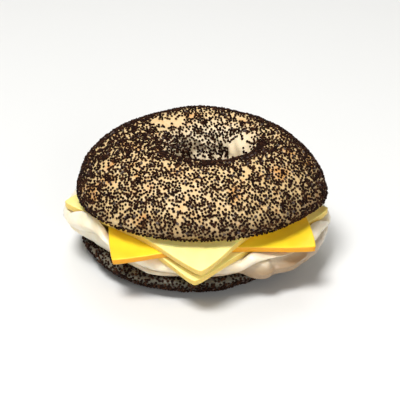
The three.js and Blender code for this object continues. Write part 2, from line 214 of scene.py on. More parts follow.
def corners_of(mesh):
    flat = np.empty(len(mesh.vertices) * 3, np.float32)
    mesh.vertices.foreach_get("co", flat)
    return flat.reshape(-1, 3).astype(float) / MM


def normals_of(mesh):
    flat = np.empty(len(mesh.vertices) * 3, np.float32)
    mesh.vertex_normals.foreach_get("vector", flat)
    return flat.reshape(-1, 3).astype(float)


def push_out(piece, amount):
    """Moves the corners along their normals by millimetres, from a function of their places."""
    corners, normals = corners_of(piece.data), normals_of(piece.data)
    corners += normals * amount(corners, normals)[:, None]
    piece.data.vertices.foreach_set("co", (corners * MM).ravel().astype(np.float32))
    piece.data.update()


# %% [markdown]
# A finish is a material built from nodes. Its sums are easier to read as Python, so a small
# class wraps a socket: adding, subtracting or multiplying two of them adds the Math node that
# does it. The finish itself adds any other node by its type.

# %% Helpers for finishes
class Value:
    """A number that varies over a surface. Arithmetic on it adds Math nodes."""

    def __init__(self, finish, socket):
        self.finish = finish
        self.socket = socket

    def math(self, operation, first, second=0.0):
        made = self.finish.node("Math", {"operation": operation}, {0: first, 1: second})
        return Value(self.finish, made.outputs[0])

    def __add__(self, other):
        return self.math("ADD", self, other)

    __radd__ = __add__

    def __mul__(self, other):
        return self.math("MULTIPLY", self, other)

    __rmul__ = __mul__

    def __sub__(self, other):
        return self.math("SUBTRACT", self, other)

    def __rsub__(self, other):
        return self.math("SUBTRACT", other, self)

    def __pow__(self, other):
        return self.math("POWER", self, other)

    def between(self, start, stop):
        """0 below start, 1 above stop and smooth between them."""
        made = self.finish.node("MapRange", {"interpolation_type": "SMOOTHSTEP"},
                                {0: self, 1: start, 2: stop})
        return Value(self.finish, made.outputs[0])


class Finish:
    """A material with one Principled shader. Colours are given as 0 to 255, as on a screen."""

    def __init__(self, name, **uniform):
        self.material = bpy.data.materials.new(name)
        self.material.use_nodes = True
        self.tree = self.material.node_tree
        self.shader = self.tree.nodes["Principled BSDF"]
        self.set(**uniform)
        self.place = self.node("TexCoord").outputs["Object"]

    def set(self, **inputs):
        for name, value in inputs.items():
            label = name.replace("_", " ").title().replace("Ior", "IOR")
            self.put(self.shader.inputs[label], value)

    def put(self, socket, value):
        if isinstance(value, Value):
            value = value.socket
        if isinstance(value, bpy.types.NodeSocket):
            self.tree.links.new(value, socket)
        else:
            socket.default_value = value

    def node(self, kind, settings=None, inputs=None):
        made = self.tree.nodes.new("ShaderNode" + kind)
        for name, value in (settings or {}).items():
            setattr(made, name, value)
        for name, value in (inputs or {}).items():
            self.put(made.inputs[name], value)
        return made

    def lumps(self, size, detail=2.0, roughness=0.5):
        """Noise from 0 to 1 with lumps of a size in millimetres."""
        made = self.node("TexNoise", None, {"Vector": self.place, "Scale": 1 / (size * MM),
                                            "Detail": detail, "Roughness": roughness})
        return Value(self, made.outputs[0])

    def cells(self, size, feature="F1"):
        """Distance to the nearest of many scattered points, about a size in mm apart."""
        made = self.node("TexVoronoi", {"feature": feature},
                         {"Vector": self.place, "Scale": 1 / (size * MM)})
        return Value(self, made.outputs[0])

    def along(self, axis):
        """A place's X, Y or Z (axis 0, 1 or 2) in millimetres."""
        made = self.node("SeparateXYZ", None, {0: self.place})
        return Value(self, made.outputs[axis]) * (1 / MM)

    def upright(self):
        """1 where a surface faces straight up, 0 on a wall and -1 underneath."""
        made = self.node("SeparateXYZ", None, {0: self.node("NewGeometry").outputs["Normal"]})
        return Value(self, made.outputs[2])

    def mix(self, mask, plain, masked):
        """One colour where the mask is 0, and another where it is 1."""
        made = self.node("Mix", {"data_type": "RGBA"}, {0: mask, 6: plain, 7: masked})
        return made.outputs[2]

    def bump(self, height, depth):
        """A fine relief with a depth in millimetres."""
        made = self.node("Bump", None, {"Height": height, "Distance": depth * MM})
        self.put(self.shader.inputs["Normal"], made.outputs["Normal"])


def colour(red, green, blue):
    """A screen colour as the linear colour that a shader takes."""
    def linear(part):
        part = part / 255
        return part / 12.92 if part <= 0.04045 else ((part + 0.055) / 1.055) ** 2.4
    return (linear(red), linear(green), linear(blue), 1.0)


# %% [markdown]
# The floor needs no pattern: a plain matt white card, as in a product picture.

# %% Floor finish
card = Finish("white_card", base_color=colour(228, 228, 226), roughness=0.9)
floor_mesh.materials.append(card.material)

# %% [markdown]
# Baked crust is straw-gold, with tan patches where it took more heat and paler skin where it
#  stretched. Low down it is darker, partly from a darker bake and partly painted shade under the
#  rim and the filling, with less of that painted shade along a stretch at the front left. The
#  dimple's inside is pale. All of that is colour over a fine wrinkled relief.

# %% Crust finish
dimple_x = stack_x + 4.4
dimple_y = stack_y + 0.5


def crust_finish(name, straw, tan, cream, low_skin_and_shade, low_from, low_to):
    crust = Finish(name, roughness=0.5, specular_ior_level=0.4, subsurface_weight=0.08,
                   subsurface_radius=(1.0, 0.5, 0.2), subsurface_scale=0.8 * MM)
    baked = crust.lumps(9, 3).between(0.5, 0.72)
    freckled = crust.lumps(2.2, 3).between(0.45, 0.75)
    skin = crust.mix(baked * 0.75, straw, tan)
    skin = crust.mix(freckled * 0.4, skin, cream)
    across = crust.along(0) - dimple_x
    back = crust.along(1) - dimple_y
    inside_dimple = 1 - ((across * across + back * back) ** 0.5).between(15, 27)
    skin = crust.mix(inside_dimple * 0.85, skin, cream)
    # Painted shade: the skin darkens low down, partly a darker bake, and less along the front
    # left.
    low = 1 - crust.along(2).between(low_from, low_to)
    pale_rim = crust.along(0).between(-52, -44) * (1 - crust.along(0).between(-30, -14))
    pale_rim = pale_rim * (1 - crust.along(1).between(-20, 0))
    crust.set(base_color=crust.mix(low * (0.85 - 0.6 * pale_rim), skin, low_skin_and_shade))
    crust.bump(crust.lumps(0.9, 3) + crust.lumps(3.5, 2), 0.12)
    return crust.material


top_skin = crust_finish("top_crust", colour(218, 186, 132), colour(214, 148, 74),
                        colour(240, 222, 188), colour(96, 64, 28), cut_level - 1,
                        cut_level + 15)
# The bottom half's crust colours are darker, greyer copies of the top's, with near-black skin low
# down: painted shade under the overhanging filling and near the floor.
shaded_bottom_skin = crust_finish("bottom_crust", colour(114, 108, 92), colour(84, 78, 60),
                           colour(132, 127, 110), colour(28, 25, 18), 4, bottom_height + 3)

# %% Crumb finish
crumb = Finish("crumb", roughness=0.85, specular_ior_level=0.2)
pores = crumb.cells(1.6).between(0.15, 0.6)
# Painted shade: the pores' hollows are coloured darker than the crumb round them.
crumb.set(base_color=crumb.mix(pores, colour(214, 190, 146), colour(240, 226, 194)))
crumb.bump(pores, 0.5)

# %% [markdown]
# Poppy seeds look black from afar, but are brown-black up close, and a few are slate grey.
# Each kind has its own finish with the fine net of ridges that covers a poppy seed.

# %% Seed finishes
def seed_finish(name, dark, light):
    seed = Finish(name, roughness=0.6, specular_ior_level=0.07)
    seed.set(base_color=seed.mix(seed.lumps(1.5, 2).between(0.35, 0.7), dark, light))
    seed.bump(seed.cells(0.16, "DISTANCE_TO_EDGE"), 0.03)
    return seed.material


seed_kinds = {
    "black": (seed_finish("black_seed", colour(24, 8, 3), colour(36, 15, 7)), 0.6),
    "brown": (seed_finish("brown_seed", colour(42, 21, 10), colour(68, 40, 23)), 0.37),
    "slate": (seed_finish("slate_seed", colour(70, 58, 54), colour(98, 86, 80)), 0.03),
}

# %% [markdown]
# Sliced cheese is smooth and slightly translucent, so light softens inside it. Its walls and
#  undersides are painted a deeper, darker colour than its tops: painted shade for the shade in
#  the narrow gaps between the slices. The two pale slices and the yellow one differ only in
#  colour.

# %% Cheese finishes
def cheese_finish(name, face, edge):
    cheese = Finish(name, roughness=0.42, specular_ior_level=0.4, subsurface_weight=0.35,
                    subsurface_radius=(1.0, 0.75, 0.25), subsurface_scale=1.6 * MM)
    # Painted shade: walls and undersides, facing away from straight up, take the darker edge
    # colour.
    side = 1 - cheese.upright().between(0.2, 0.75)
    mottled = cheese.lumps(14, 2).between(0.35, 0.7)
    face_colour = cheese.mix(mottled * 0.25, face, edge)
    cheese.set(base_color=cheese.mix(side * 0.8, face_colour, edge))
    cheese.bump(cheese.lumps(0.7, 3) * 0.5 + cheese.lumps(5, 2), 0.06)
    return cheese


pale_cheese = cheese_finish("pale_cheese", colour(254, 243, 158), colour(226, 188, 80))
yellow_cheese = cheese_finish("yellow_cheese", colour(254, 218, 44), colour(226, 146, 14))

# %% [markdown]
# Cooked egg is off-white, moist and more translucent than cheese. In the photograph its low
# edge lies in warm shade at the front, most at the right, and the lamps here give less of it,
# so a brown tint stands in for the rest. A soft relief of tiny bubbles breaks its highlights.

# %% Egg finish
cooked_egg = Finish("cooked_egg", roughness=0.3, specular_ior_level=0.5, coat_weight=0.15,
                    coat_roughness=0.25, subsurface_weight=0.45,
                    subsurface_radius=(1.0, 0.8, 0.5), subsurface_scale=2.2 * MM)
creamy = cooked_egg.lumps(10, 2).between(0.4, 0.7)
egg_white = cooked_egg.mix(creamy, colour(244, 236, 214), colour(238, 224, 190))
low_edge = 1 - (cooked_egg.along(2) - 0.1 * cooked_egg.along(0)).between(10, 20)
front_share = 0.4 * cooked_egg.along(0).between(-45, -20)
right_share = 0.25 * cooked_egg.along(0).between(-5, 30)
near_front = 1 - cooked_egg.along(1).between(-28, 2)
# Painted shade: a brown tint low down, a little all round and most at the front right.
egg_painted_shade = low_edge * (0.25 + near_front * (front_share + right_share))
cooked_egg.set(base_color=cooked_egg.mix(egg_painted_shade, egg_white, colour(146, 114, 76)))
cooked_egg.bump(cooked_egg.lumps(1.2, 2) + cooked_egg.lumps(4, 2), 0.15)

# %% [markdown]
# The bottom half is a shallow bowl shape with a small hollow underneath, narrower at its base.
# It is turned from a profile, made uneven round its outline and lightly wrinkled. Its base is
# raised by a hair, because it stands on the seeds that are stuck to it.

# %% Bottom half
clearance = 0.35
closing = clearance / 2 - 0.02
seed_room = 0.35
bottom_radius = 50.5
bottom_cut_radius = 43
bottom_base_radius = 38
bottom_waist = 8.5
bottom_side_power = 1.35
bottom_x = -4
bottom_y = 2
hollow_radius = 8
hollow_depth = 2.5
cut_face_from = 9


def bottom_profile():
    turn = quarter(8, backwards=True)
    hollow = np.stack([hollow_radius * np.cos(turn), hollow_depth * np.sin(turn)], 1)
    base_radius = stretch(hollow_radius, bottom_base_radius, 30)
    base = np.stack([base_radius, np.zeros_like(base_radius)], 1)
    turn = quarter(26)
    side_out = np.sin(turn) ** bottom_side_power
    side_up = 1 - np.cos(turn) ** bottom_side_power
    side = np.stack([bottom_base_radius + (bottom_radius - bottom_base_radius) * side_out,
                     bottom_waist * side_up], 1)
    turn = quarter(14)
    shoulder = np.stack([bottom_cut_radius + (bottom_radius - bottom_cut_radius) * np.cos(turn),
                         bottom_waist + (bottom_height - bottom_waist) * np.sin(turn)], 1)
    cut_radius = stretch(bottom_cut_radius, 0, 40)
    cut = np.stack([cut_radius, np.full_like(cut_radius, bottom_height + closing)], 1)
    end = [[0, bottom_height + closing]]
    return np.vstack([hollow, base, side, shoulder, cut, end])


def bottom_shape(corners):
    x, y, z = corners.T
    outward = smooth_step(hollow_radius, bottom_radius, np.hypot(x, y))
    waves = ((2, 0.006, 0.9), (3, 0.006, -0.7), (7, 0.004, 0))
    lobes = ((-154, 18, -0.03), (-56, 14, -0.03), (-74, 9, 0.02))
    scale = 1 + uneven(np.arctan2(y, x), waves, lobes) * outward
    raised = seed_room * (1 - smooth_step(0, bottom_waist, z))
    return np.stack([x * scale + bottom_x + stack_x, y * scale + bottom_y + stack_y,
                     z + raised], 1)


def bread_relief(corners, normals, cut_height, cut_side):
    """Broad lumps and wrinkles on the crust, and open pores on the cut face."""
    on_cut = (np.abs(corners[:, 2] - cut_height) < 0.4) & (normals[:, 2] * cut_side > 0.8)
    lumps = 0.35 * clouds(corners, 13) + 0.12 * clouds(corners, 4.2, 3, 5)
    pores = 0.25 * np.minimum(clouds(corners, 2.6, 2, 9), 0)
    return np.where(on_cut, pores, lumps)


# %% Bottom half's mesh
corners, faces = turned(bottom_profile(), 380)
bottom = make_piece("bottom_crust", bottom_shape(corners), faces, "bagel_bottom")
push_out(bottom, lambda corners, normals: bread_relief(
    corners, normals, bottom_height + closing, 1) * smooth_step(0.5, 3, corners[:, 2]))

# %% [markdown]
# The top half is turned in the same way: from its cut face, round the tucked-in rim, over the
# broad shoulder and down into a closed dimple. The dimple is pinched and lies a little to the
# right, and its pale skin is drawn into folds.

# %% Top half
top_x = -0.6
top_radius = 54.7
top_cut_radius = 48
top_height = 25.6
top_waist = 4.5
crown_radius = 32
shoulder_power = 1.25
dimple_radius = 14.5
dimple_wall = 12
dimple_depth = 18
dimple_shift_x = 5
dimple_shift_y = 0.5
waist_sag = 2.6
sag_direction = -9
sag_width = 20
sag_top = 18


def top_profile():
    cut_radius = stretch(0, top_cut_radius, 44)
    cut = np.stack([cut_radius, np.full_like(cut_radius, -closing)], 1)
    turn = quarter(9, backwards=True)
    tuck = np.stack([top_radius - (top_radius - top_cut_radius) * (1 - np.cos(turn)),
                     top_waist * (1 - np.sin(turn))], 1)
    turn = quarter(72, backwards=True)
    shoulder = np.stack([
        crown_radius + (top_radius - crown_radius) * np.sin(turn) ** shoulder_power,
        top_waist + (top_height - top_waist) * np.cos(turn) ** shoulder_power], 1)
    turn = quarter(40)
    wall = np.stack([crown_radius - (crown_radius - dimple_radius) * np.sin(turn),
                     top_height - dimple_wall * (1 - np.cos(turn))], 1)
    turn = quarter(24)
    floor_part = np.stack([
        dimple_radius * np.cos(turn),
        top_height - dimple_wall - (dimple_depth - dimple_wall) * np.sin(turn)], 1)
    return np.vstack([cut, tuck, shoulder, wall, floor_part, [[0, top_height - dimple_depth]]])


def top_shape(corners):
    x, y, z = corners.T
    angle, radius = np.arctan2(y, x), np.hypot(x, y)
    outward = smooth_step(dimple_radius, top_radius, radius)
    inward = 1 - smooth_step(dimple_radius, crown_radius, radius)
    outline = uneven(angle, ((2, 0.006, -0.4), (3, 0.005, 1.1), (5, 0.003, 0.4)),
                     ((146, 24, 0.028), (178, 14, -0.016), (25, 21, -0.028), (-9, 16, 0.032)))
    pinch = uneven(angle, ((3, 0.10, 0.8), (5, 0.05, 0)))
    scale = 1 + outline * outward + pinch * inward
    crown = uneven(angle, ((3, 0.008, 0.5),), ((95, 22, 0.05), (-150, 40, 0.02)))
    at_waist = smooth_step(0, top_waist, z) * (1 - smooth_step(top_waist, sag_top, z)) * outward
    sag = waist_sag * lobe(angle, sag_direction, sag_width) * at_waist
    return np.stack([
        x * scale + dimple_shift_x * (1 - outward) + top_x + stack_x,
        y * scale + dimple_shift_y * (1 - outward) + stack_y,
        z * (1 + crown * smooth_step(top_waist, top_height, z)) - sag + cut_level], 1)


def dimple_folds(corners):
    """Folds down the dimple's wall, turning a little with depth."""
    x, y, z = corners.T
    depth = smooth_step(cut_level + top_height - 2, cut_level + top_height - dimple_wall, z)
    away = np.hypot(x - dimple_x, y - dimple_y)
    inside = 1 - smooth_step(15, 24, away)
    angle = np.arctan2(y - dimple_y, x - dimple_x) + 0.5 * depth
    folds = uneven(angle, ((9, 0.35, 0.4), (14, 0.2, 2)),
                   ((148, 12, -2.0), (170, 9, 1.2), (128, 7, 1.3), (105, 8, -0.8)))
    return folds * inside * depth


# %% Top half's mesh
corners, faces = turned(top_profile(), 440)
top = make_piece("top_crust", top_shape(corners), faces, "bagel_top")
push_out(top, lambda corners, normals: bread_relief(corners, normals, cut_level - closing, -1)
         + dimple_folds(corners))

# %% Crust outside, crumb on the cut faces
for bread, skin in ((bottom, shaded_bottom_skin), (top, top_skin)):
    bread.data.materials.append(skin)
    bread.data.materials.append(crumb.material)
bottom_cut_end = bottom_cut_radius - 1
for face in bottom.data.polygons:
    away = math.dist(face.center[:2], ((stack_x + bottom_x) * MM, (stack_y + bottom_y) * MM))
    on_cut = face.center.z > cut_face_from * MM and away < bottom_cut_end * MM
    face.material_index = int(on_cut)
for face in top.data.polygons:
    face.material_index = int(face.center.z / MM < cut_level + 0.4 and face.normal.z < -0.75)

# %% [markdown]
# A slice bends over the filling's edge: it lies flat up to a radius, then rounds over and runs
# straight down. The angle that it reaches depends on the direction, most at the front, and the
# corners at the right curl up again. The same rule drapes the slices and the top of the egg
# below them, which keeps them apart.

# %% Draping
pale_thickness = 2.8
yellow_thickness = 2.5
rest_level = cut_level - 2 * pale_thickness - yellow_thickness - 3 * clearance
drape_radius = 40
bend_length = 15
front_droop = 22.5
left_droop = 2
right_droop = 0.6
back_droop = 8
right_curl = 2.8
curl_direction = -11
curl_width = 16
curl_start = 49
curl_end = 60


def drape(x, y, lift, rise=0):
    flat_radius, angle = np.hypot(x, y), np.arctan2(y, x)
    front, behind = np.maximum(-np.sin(angle), 0) ** 2, np.maximum(np.sin(angle), 0) ** 2
    left, right = np.maximum(-np.cos(angle), 0) ** 2, np.maximum(np.cos(angle), 0) ** 2
    droop = np.radians(front_droop * front + back_droop * behind
                       + left_droop * left + right_droop * right)
    beyond = np.maximum(flat_radius - drape_radius, 0)
    bend = np.minimum(beyond, bend_length)
    straight = beyond - bend
    bend_radius = bend_length / droop
    slope = bend / bend_radius
    radius = (np.minimum(flat_radius, drape_radius) + bend_radius * np.sin(slope)
              + straight * np.cos(slope) + lift * np.sin(slope))
    drop = bend_radius * (1 - np.cos(slope)) + straight * np.sin(slope)
    curl = (rise * lobe(angle, curl_direction, curl_width)
            * smooth_step(curl_start, curl_end, flat_radius))
    return np.stack([radius * np.cos(angle) + stack_x, radius * np.sin(angle) + stack_y,
                     rest_level - drop + curl + lift * np.cos(slope)], 1)


# %% [markdown]
# The egg is one thin sheet, folded so that its edge shows a round upper fold, a crease and a
# lower lip. The drum's wall becomes that edge in four quarter turns, from the top: round the
# fold, in to the crease, out over the lip and under it. How far out, how high and how round
# each part is changes with the direction, so each has rows of (direction in degrees, value in
# millimetres), anticlockwise from the left. Small bulges and grooves make it look folded by
# hand.

# %% Egg's sizes
lower_place = (0.5, -6.1, -48.2)
upper_place = (-3.8, -5.6, -41.2)
pale_half = 41
egg_underside = bottom_height + clearance
lip_rounding = 3
least_lip = 0.4
egg_outer = ((-180, 61.6), (-174, 61.6), (-168, 61), (-164, 60), (-159, 57.6), (-152, 54.8),
             (-140, 52.6), (-128, 51.5), (-80, 52), (-64, 53.5), (-50, 55.5), (-36, 57),
             (-12, 58), (4, 57.8), (25, 56), (60, 54.8), (100, 54.6), (135, 56.2), (160, 60))
egg_lip = ((-180, 61), (-174, 58.8), (-169, 54.6), (-163, 51.4), (-155, 49.6), (-145, 48.8),
           (-130, 48.4), (-116, 50.2), (-100, 48.2), (-74, 47.4), (-69, 48.2), (-64, 52.8),
           (-59, 55.2), (-54, 54.4), (-46, 56.8), (-30, 57.4), (-12, 57.4), (4, 57.2),
           (25, 54.8), (60, 53.2), (100, 53.4), (135, 55), (160, 59))
egg_crease = ((-180, 18), (-170, 18.6), (-165, 17.4), (-159, 18.2), (-152, 19.8), (-147, 20.2),
              (-140, 18.8), (-128, 14.5), (-100, 13.6), (-75, 13.6), (-69, 15.4), (-63, 17.8),
              (-55, 19.2), (-44, 18.6), (-30, 18.8), (-18, 18), (0, 16), (30, 14.2),
              (70, 13.4), (110, 14.2), (150, 15.5))
egg_depth = ((-180, 0.8), (-170, 1.4), (-161, 4.4), (-145, 4.8), (-125, 3.4), (-90, 3.6),
             (-60, 4), (-40, 2.6), (-15, 3.4), (20, 3), (60, 3.8), (110, 2.8), (150, 2.6))
egg_rise = ((-180, 5), (-150, 5), (-142, 2.2), (-134, 0.5), (-126, 0), (-71, 0), (-66, 2.7),
            (-58, 1.6), (-44, 0.6), (-34, 1.9), (-25, 3.1), (-17, 2.9), (-13, 0.8), (-11, 0),
            (-5, 0), (30, 0), (110, 0), (135, 1), (160, 3.6))
egg_cover = ((-180, 0), (-170, 0), (-167, 0), (-163, 2.4), (-159, 4), (-152, 3.6), (-146, 1.6),
             (-141, 0), (-138, 0), (-60, 0), (60, 0), (150, 0))
egg_rounding = ((-180, 2.6), (-173, 1.8), (-167, 1.3), (-160, 2.2), (-152, 2.6), (-140, 3),
                (-80, 3), (-69, 2.2), (-60, 3), (-40, 3.6), (-29, 4.8), (-22, 4.6), (-17, 2.6),
                (-13, 1.2), (-8, 1.8), (10, 3), (120, 3.4))
egg_sag = ((-180, -2.4), (-168, -1), (-158, 0), (-120, 0.4), (-90, 1.4), (-60, 1.5),
           (-42, 0.8), (-28, 0.2), (-10, -1), (5, -1.6), (40, 0), (100, 1.2), (150, -0.5))
egg_core = (47, 15)
egg_reach = 54
past_slice = 0.45
egg_bulges = (
    (-65.6, 20.8, 3.4, 2.4, 1.2), (-60.5, 17.2, 3.2, 2.2, 1.0), (-155, 23, 5, 2.5, 0.7),
    (-47, 17.6, 6, 1.8, -1.4), (172, 19, 8, 3, 0.7), (70, 18, 9, 2.5, 1.0),
    (118, 13, 7, 2.5, 0.9))
egg_grooves = (
    (-57, 18.6, -55, 14, 1.1, 0.8), (-62, 13.2, -38, 15.2, 0.9, -0.7),
    (-162, 21.4, -150, 20.4, 1.2, 0.4), (-26, 23.4, -16, 22.2, 1.2, 0.6))


# %% Values by direction
def around(angle, rows):
    """A value that runs smoothly through rows of (direction in degrees, value)."""
    ways, values = np.array(rows, float).T
    gaps = np.diff(np.append(ways, ways[0] + 360))
    degrees = (np.degrees(angle) - ways[0]) % 360 + ways[0]
    start = np.searchsorted(ways, degrees, "right") - 1
    part = (degrees - ways[start]) / gaps[start]
    a, b, c, d = (values[(start + step) % len(rows)] for step in (-1, 0, 1, 2))
    return b + 0.5 * part * (c - a + part * (2 * a - 5 * b + 4 * c - d
                                             + part * (3 * (b - c) + d - a)))


def slice_edge(angle, place, half):
    """How far out a square slice reaches in a direction."""
    centre_x, centre_y, turned_by = place
    reaches = []
    for turn in (math.radians(turned_by), math.radians(turned_by + 90)):
        ahead = np.cos(angle - turn) + 1e-9
        offset = centre_x * math.cos(turn) + centre_y * math.sin(turn)
        reaches.append((half * np.sign(ahead) + offset) / ahead)
    return np.minimum(*reaches)


# %% Egg's section
def egg_under(angle, radius):
    x = radius * np.cos(angle) - bottom_x
    y = radius * np.sin(angle) - bottom_y
    beyond = smooth_step(bottom_radius - 4, bottom_radius + 5, np.hypot(x, y))
    return egg_underside - closing - around(angle, egg_sag) * beyond


def egg_section(angle):
    outer = around(angle, egg_outer) + uneven(angle, ((11, 0.2, 1), (17, 0.15, 2)))
    lip = around(angle, egg_lip) + uneven(angle, ((13, 0.2, 0),))
    inner = np.minimum(outer - around(angle, egg_depth), lip - least_lip)
    return outer, around(angle, egg_crease), lip, inner, outer - around(angle, egg_rounding)


def draped_edge(angle, flat, fold_start):
    """The top of the egg: under the slices, then raised beyond the edges of two of them."""
    place = drape(flat * np.cos(angle), flat * np.sin(angle), closing - clearance)
    rise_start = np.minimum(slice_edge(angle, lower_place, pale_half) + past_slice,
                            fold_start - 0.8)
    cover_start = np.clip(slice_edge(angle, upper_place, pale_half) + past_slice,
                          (rise_start + fold_start) / 2, fold_start - 0.35)
    rise = around(angle, egg_rise) * smooth_step(rise_start, fold_start, flat)
    cover = around(angle, egg_cover) * smooth_step(cover_start, fold_start, flat)
    return (np.hypot(place[:, 0] - stack_x, place[:, 1] - stack_y),
            place[:, 2] + rise + cover)


def egg_face(angle, share):
    outer, crease, lip, inner, fold_start = egg_section(angle)
    stage = np.minimum(np.floor(share * 4), 3)
    turn = (share * 4 - stage) * math.pi / 2
    fold_radius, fold_top = draped_edge(angle, outer, fold_start)
    fold_middle = (fold_top + crease) / 2
    under = egg_under(angle, lip - lip_rounding)
    lip_middle = (crease + under) / 2
    first_radius, first_height = draped_edge(
        angle, outer - (outer - fold_start) * (1 - np.sin(turn)), fold_start)
    radii = [first_radius,
             fold_radius - (fold_radius - inner) * (1 - np.cos(turn)),
             lip - (lip - inner) * (1 - np.sin(turn)),
             lip - lip_rounding * (1 - np.cos(turn))]
    heights = [first_height - (fold_top - fold_middle) * (1 - np.cos(turn)),
               fold_middle - (fold_middle - crease) * np.sin(turn),
               lip_middle + (crease - lip_middle) * np.cos(turn),
               lip_middle - (lip_middle - under) * np.sin(turn)]
    stages = [stage == number for number in range(4)]
    return np.select(stages, radii), np.select(stages, heights)


# %% Egg's bulges and grooves
def egg_relief(angle, height):
    """Bulges and grooves of the outer face, by direction and height."""
    total = np.zeros_like(angle)
    for middle, level, breadth, tall, size in egg_bulges:
        along = turn_from(angle, middle) * egg_reach
        total += size * np.exp(-(along / breadth) ** 2 - ((height - level) / tall) ** 2)
    for start, start_level, stop, stop_level, breadth, deep in egg_grooves:
        along = turn_from(angle, start) * egg_reach
        run, climb = math.radians(stop - start) * egg_reach, stop_level - start_level
        part = np.clip((along * run + (height - start_level) * climb)
                       / (run ** 2 + climb ** 2), 0, 1)
        gap = np.hypot(along - part * run, height - start_level - part * climb)
        total -= deep * np.exp(-(gap / breadth) ** 2)
    return total


# %% Egg's shape and mesh
def egg_shape(corners):
    x, y, z = corners.T
    angle, part = np.arctan2(y, x), np.hypot(x, y)
    _, _, lip, _, fold_start = egg_section(angle)
    face_radius, face_height = egg_face(angle, 1 - z)
    over_radius, over_height = draped_edge(angle, part * fold_start, fold_start)
    under_radius = part * (lip - lip_rounding)
    on_face, on_top = part > 0.999, z > 0.5
    radius = np.where(on_face, face_radius, np.where(on_top, over_radius, under_radius))
    height = np.where(on_face, face_height,
                      np.where(on_top, over_height, egg_under(angle, under_radius)))
    out, up = np.maximum(radius - egg_core[0], 0), height - egg_core[1]
    relief = egg_relief(angle, height) * smooth_step(2, 5, out) / np.maximum(np.hypot(out, up), 1)
    radius, height = radius + out * relief, height + up * relief
    return np.stack([radius * np.cos(angle) + stack_x, radius * np.sin(angle) + stack_y,
                     height], 1)


wall_steps = 72
under_parts = np.concatenate([stretch(0, 0.8, 4), stretch(0.8, 1, 30)])
profile = np.vstack([
    np.stack([under_parts, np.zeros_like(under_parts)], 1),
    np.stack([np.ones(wall_steps + 1), np.arange(wall_steps + 1) / wall_steps], 1),
    np.stack([under_parts[::-1], np.ones_like(under_parts)], 1)])
corners, faces = turned(profile, 420)
egg = make_piece("folded_egg", egg_shape(corners), faces, "egg")
egg.data.materials.append(cooked_egg.material)


def egg_lumps(corners, normals):
    edge = smooth_step(38, 48, np.hypot(corners[:, 0] - stack_x, corners[:, 1] - stack_y))
    facing_out = 1 - smooth_step(0.6, 0.95, np.abs(normals[:, 2]))
    return edge * facing_out * (0.4 * clouds(corners, 8, 2, 3) + 0.15 * clouds(corners, 3, 2, 7))


push_out(egg, egg_lumps)

# %% [markdown]
# A slice is a drum too: its rings are stretched to squares, and its wall is rounded a little
# at both edges, as a soft slice is. Each slice grows into half of the gap that the model keeps
# between its layers, so they touch as real ones do.

# %% Cheese slices
yellow_place = (1.1, -4.4, 6.2)
yellow_half = 43
blunting_power = 12
edge_rounding = 0.5
flat_steps, near_steps, edge_steps = 28, 5, 5


def slice_of_cheese(name, half, thickness, place, lift, blunt, node, finish):
    deep = thickness / 2 + closing
    flat = stretch(0, half - 2, flat_steps)
    near = stretch(half - 2, half - edge_rounding, near_steps)
    turn = quarter(edge_steps)
    out = np.concatenate([flat, near, half - edge_rounding + edge_rounding * np.sin(turn)])
    up = np.concatenate([np.full(flat_steps + near_steps, -deep),
                         -deep + edge_rounding * (1 - np.cos(turn))])
    wall_height = np.linspace(-deep + edge_rounding, deep - edge_rounding, edge_steps)
    below = np.stack([out, up], 1)
    wall = np.stack([np.full(edge_steps, half), wall_height], 1)
    above = below[::-1] * (1, -1)
    corners, faces = turned(np.vstack([below, wall, above]), 320)
    x, y, z = corners.T
    angle, radius = np.arctan2(y, x), np.hypot(x, y)
    square = radius / np.maximum(np.abs(np.cos(angle)), np.abs(np.sin(angle)))
    x, y = square * np.cos(angle), square * np.sin(angle)
    blunting = blunt * (np.abs(x * y) / half ** 2) ** blunting_power
    along, across = x - np.sign(x) * blunting, y - np.sign(y) * blunting
    centre_x, centre_y, turned_by = place
    cosine, sine = math.cos(math.radians(turned_by)), math.sin(math.radians(turned_by))
    corners = drape(centre_x + along * cosine - across * sine,
                    centre_y + along * sine + across * cosine, lift + thickness / 2 + z,
                    right_curl)
    piece = make_piece(name, corners, faces, node)
    piece.data.materials.append(finish.material)
    push_out(piece, lambda corners, normals: 0.12 * clouds(corners, 12, 2, lift)
             * (1 - smooth_step(0.7, 0.95, np.abs(normals[:, 2])) * 0.75))
    return piece


yellow_lift = pale_thickness + clearance
upper_lift = yellow_lift + yellow_thickness + clearance
lower_slice = slice_of_cheese("pale_slice_lower", pale_half, pale_thickness, lower_place, 0,
                              1.4, "cheese_pale_lower", pale_cheese)
yellow_slice = slice_of_cheese("yellow_slice", yellow_half, yellow_thickness, yellow_place,
                               yellow_lift, 0.5, "cheese_yellow", yellow_cheese)
upper_slice = slice_of_cheese("pale_slice_upper", pale_half, pale_thickness, upper_place,
                              upper_lift, 1.2, "cheese_pale_upper",
                              pale_cheese)

# %% [markdown]
# Seeds are scattered by drawing places on the crust, more where it is thickly seeded and none
# where its skin shows bare, and by dropping each that would lie on one already there. The
# largest seeds come first and lie about where the model's are, at corners of its mesh that
# look like a seed's tip. Other corners of a seed pass for one too, so some places get two.

# %% Finding the model's seeds
tip_edges = 5
longest_tip_edge = 0.95


